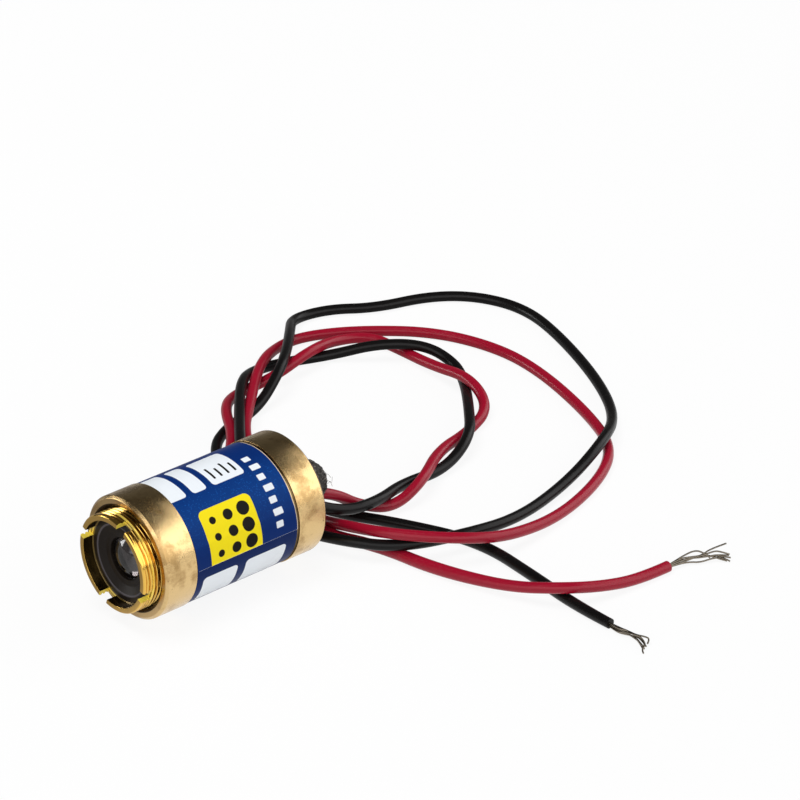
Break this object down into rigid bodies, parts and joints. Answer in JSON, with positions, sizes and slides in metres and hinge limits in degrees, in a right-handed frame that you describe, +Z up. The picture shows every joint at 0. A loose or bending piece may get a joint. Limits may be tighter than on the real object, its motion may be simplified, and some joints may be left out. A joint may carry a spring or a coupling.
{
  "type": "laser diode module",
  "caption": "Focusable laser diode module: brass barrel with screw-in lens cell, focus spring, laser diode, driver board, film label, adhesive strain relief and long loose stranded leads.",
  "frame": {"origin": "on the floor under the barrel's axis, halfway between the lens cell's rim and the end of the strain relief", "axes": "-Y along the barrel's axis in the beam's direction, +Y towards the leads, +Z up from the floor the barrel lies on"},
  "size_m": [0.0855, 0.087, 0.015],
  "materials": {
    "barrel_brass": "dull, slightly stained",
    "label_film": "printed film",
    "cell_brass": "turned",
    "black_insert": "satin",
    "lens_glass": "polished",
    "cushion": "matte",
    "washer_steel": "satin",
    "spring_steel": "drawn wire",
    "holder_brass": "turned",
    "gold_plate": "plated",
    "cap_steel": "plated",
    "window_glass": "polished",
    "semiconductor": "polished",
    "board_laminate": "solder mask",
    "chip_plastic": "moulded",
    "ceramic": "matte",
    "resistor_ceramic": "matte",
    "trimmer_plastic": "moulded",
    "solder": "bright",
    "resin": "cast, rough",
    "red_insulation": "satin",
    "black_insulation": "satin",
    "tinned_copper": "bright"
  },
  "bodies": {
    "barrel": {"barrel": "barrel_brass", "label": "label_film", "diode_holder": "holder_brass", "diode_clamp_ring": "holder_brass", "diode_header": "gold_plate", "diode_cap": "cap_steel", "diode_window": "window_glass", "diode_pins": "gold_plate", "chip_submount": "gold_plate", "laser_chip": "semiconductor", "driver_board": "board_laminate", "driver_chip": "chip_plastic", "drive_transistor": "chip_plastic", "smoothing_capacitor": "ceramic", "resistors": "resistor_ceramic", "power_trimmer": "trimmer_plastic", "solder_joints": "solder", "potting_resin": "resin", "strain_relief": "resin", "red_lead": "red_insulation", "black_lead": "black_insulation", "red_conductor": "tinned_copper", "black_conductor": "tinned_copper"},
    "thrust_washer": {"thrust_washer": "washer_steel", "focus_spring": "spring_steel"},
    "lens_cell": {"lens_cell": "cell_brass", "lens_retaining_ring": "black_insert", "lens_mount": "black_insert", "lens": "lens_glass", "lens_cushion_ring": "cushion"}
  },
  "joints": [
    {"name": "focus_travel", "type": "slide", "parent": "barrel", "child": "thrust_washer", "axis": [0, 1, 0], "range_m": [-0.001, 0.001], "deforming": ["focus_spring"]},
    {"name": "focus_turn", "type": "hinge", "parent": "thrust_washer", "child": "lens_cell", "pos_m": [0, -0.01175, 0.0075], "axis": [0, 1, 0], "range_deg": [-720, 720]}
  ],
  "couplings": [
    {"joint": "focus_travel", "follows": "focus_turn", "m_per_rad": 0.000079577}
  ]
}
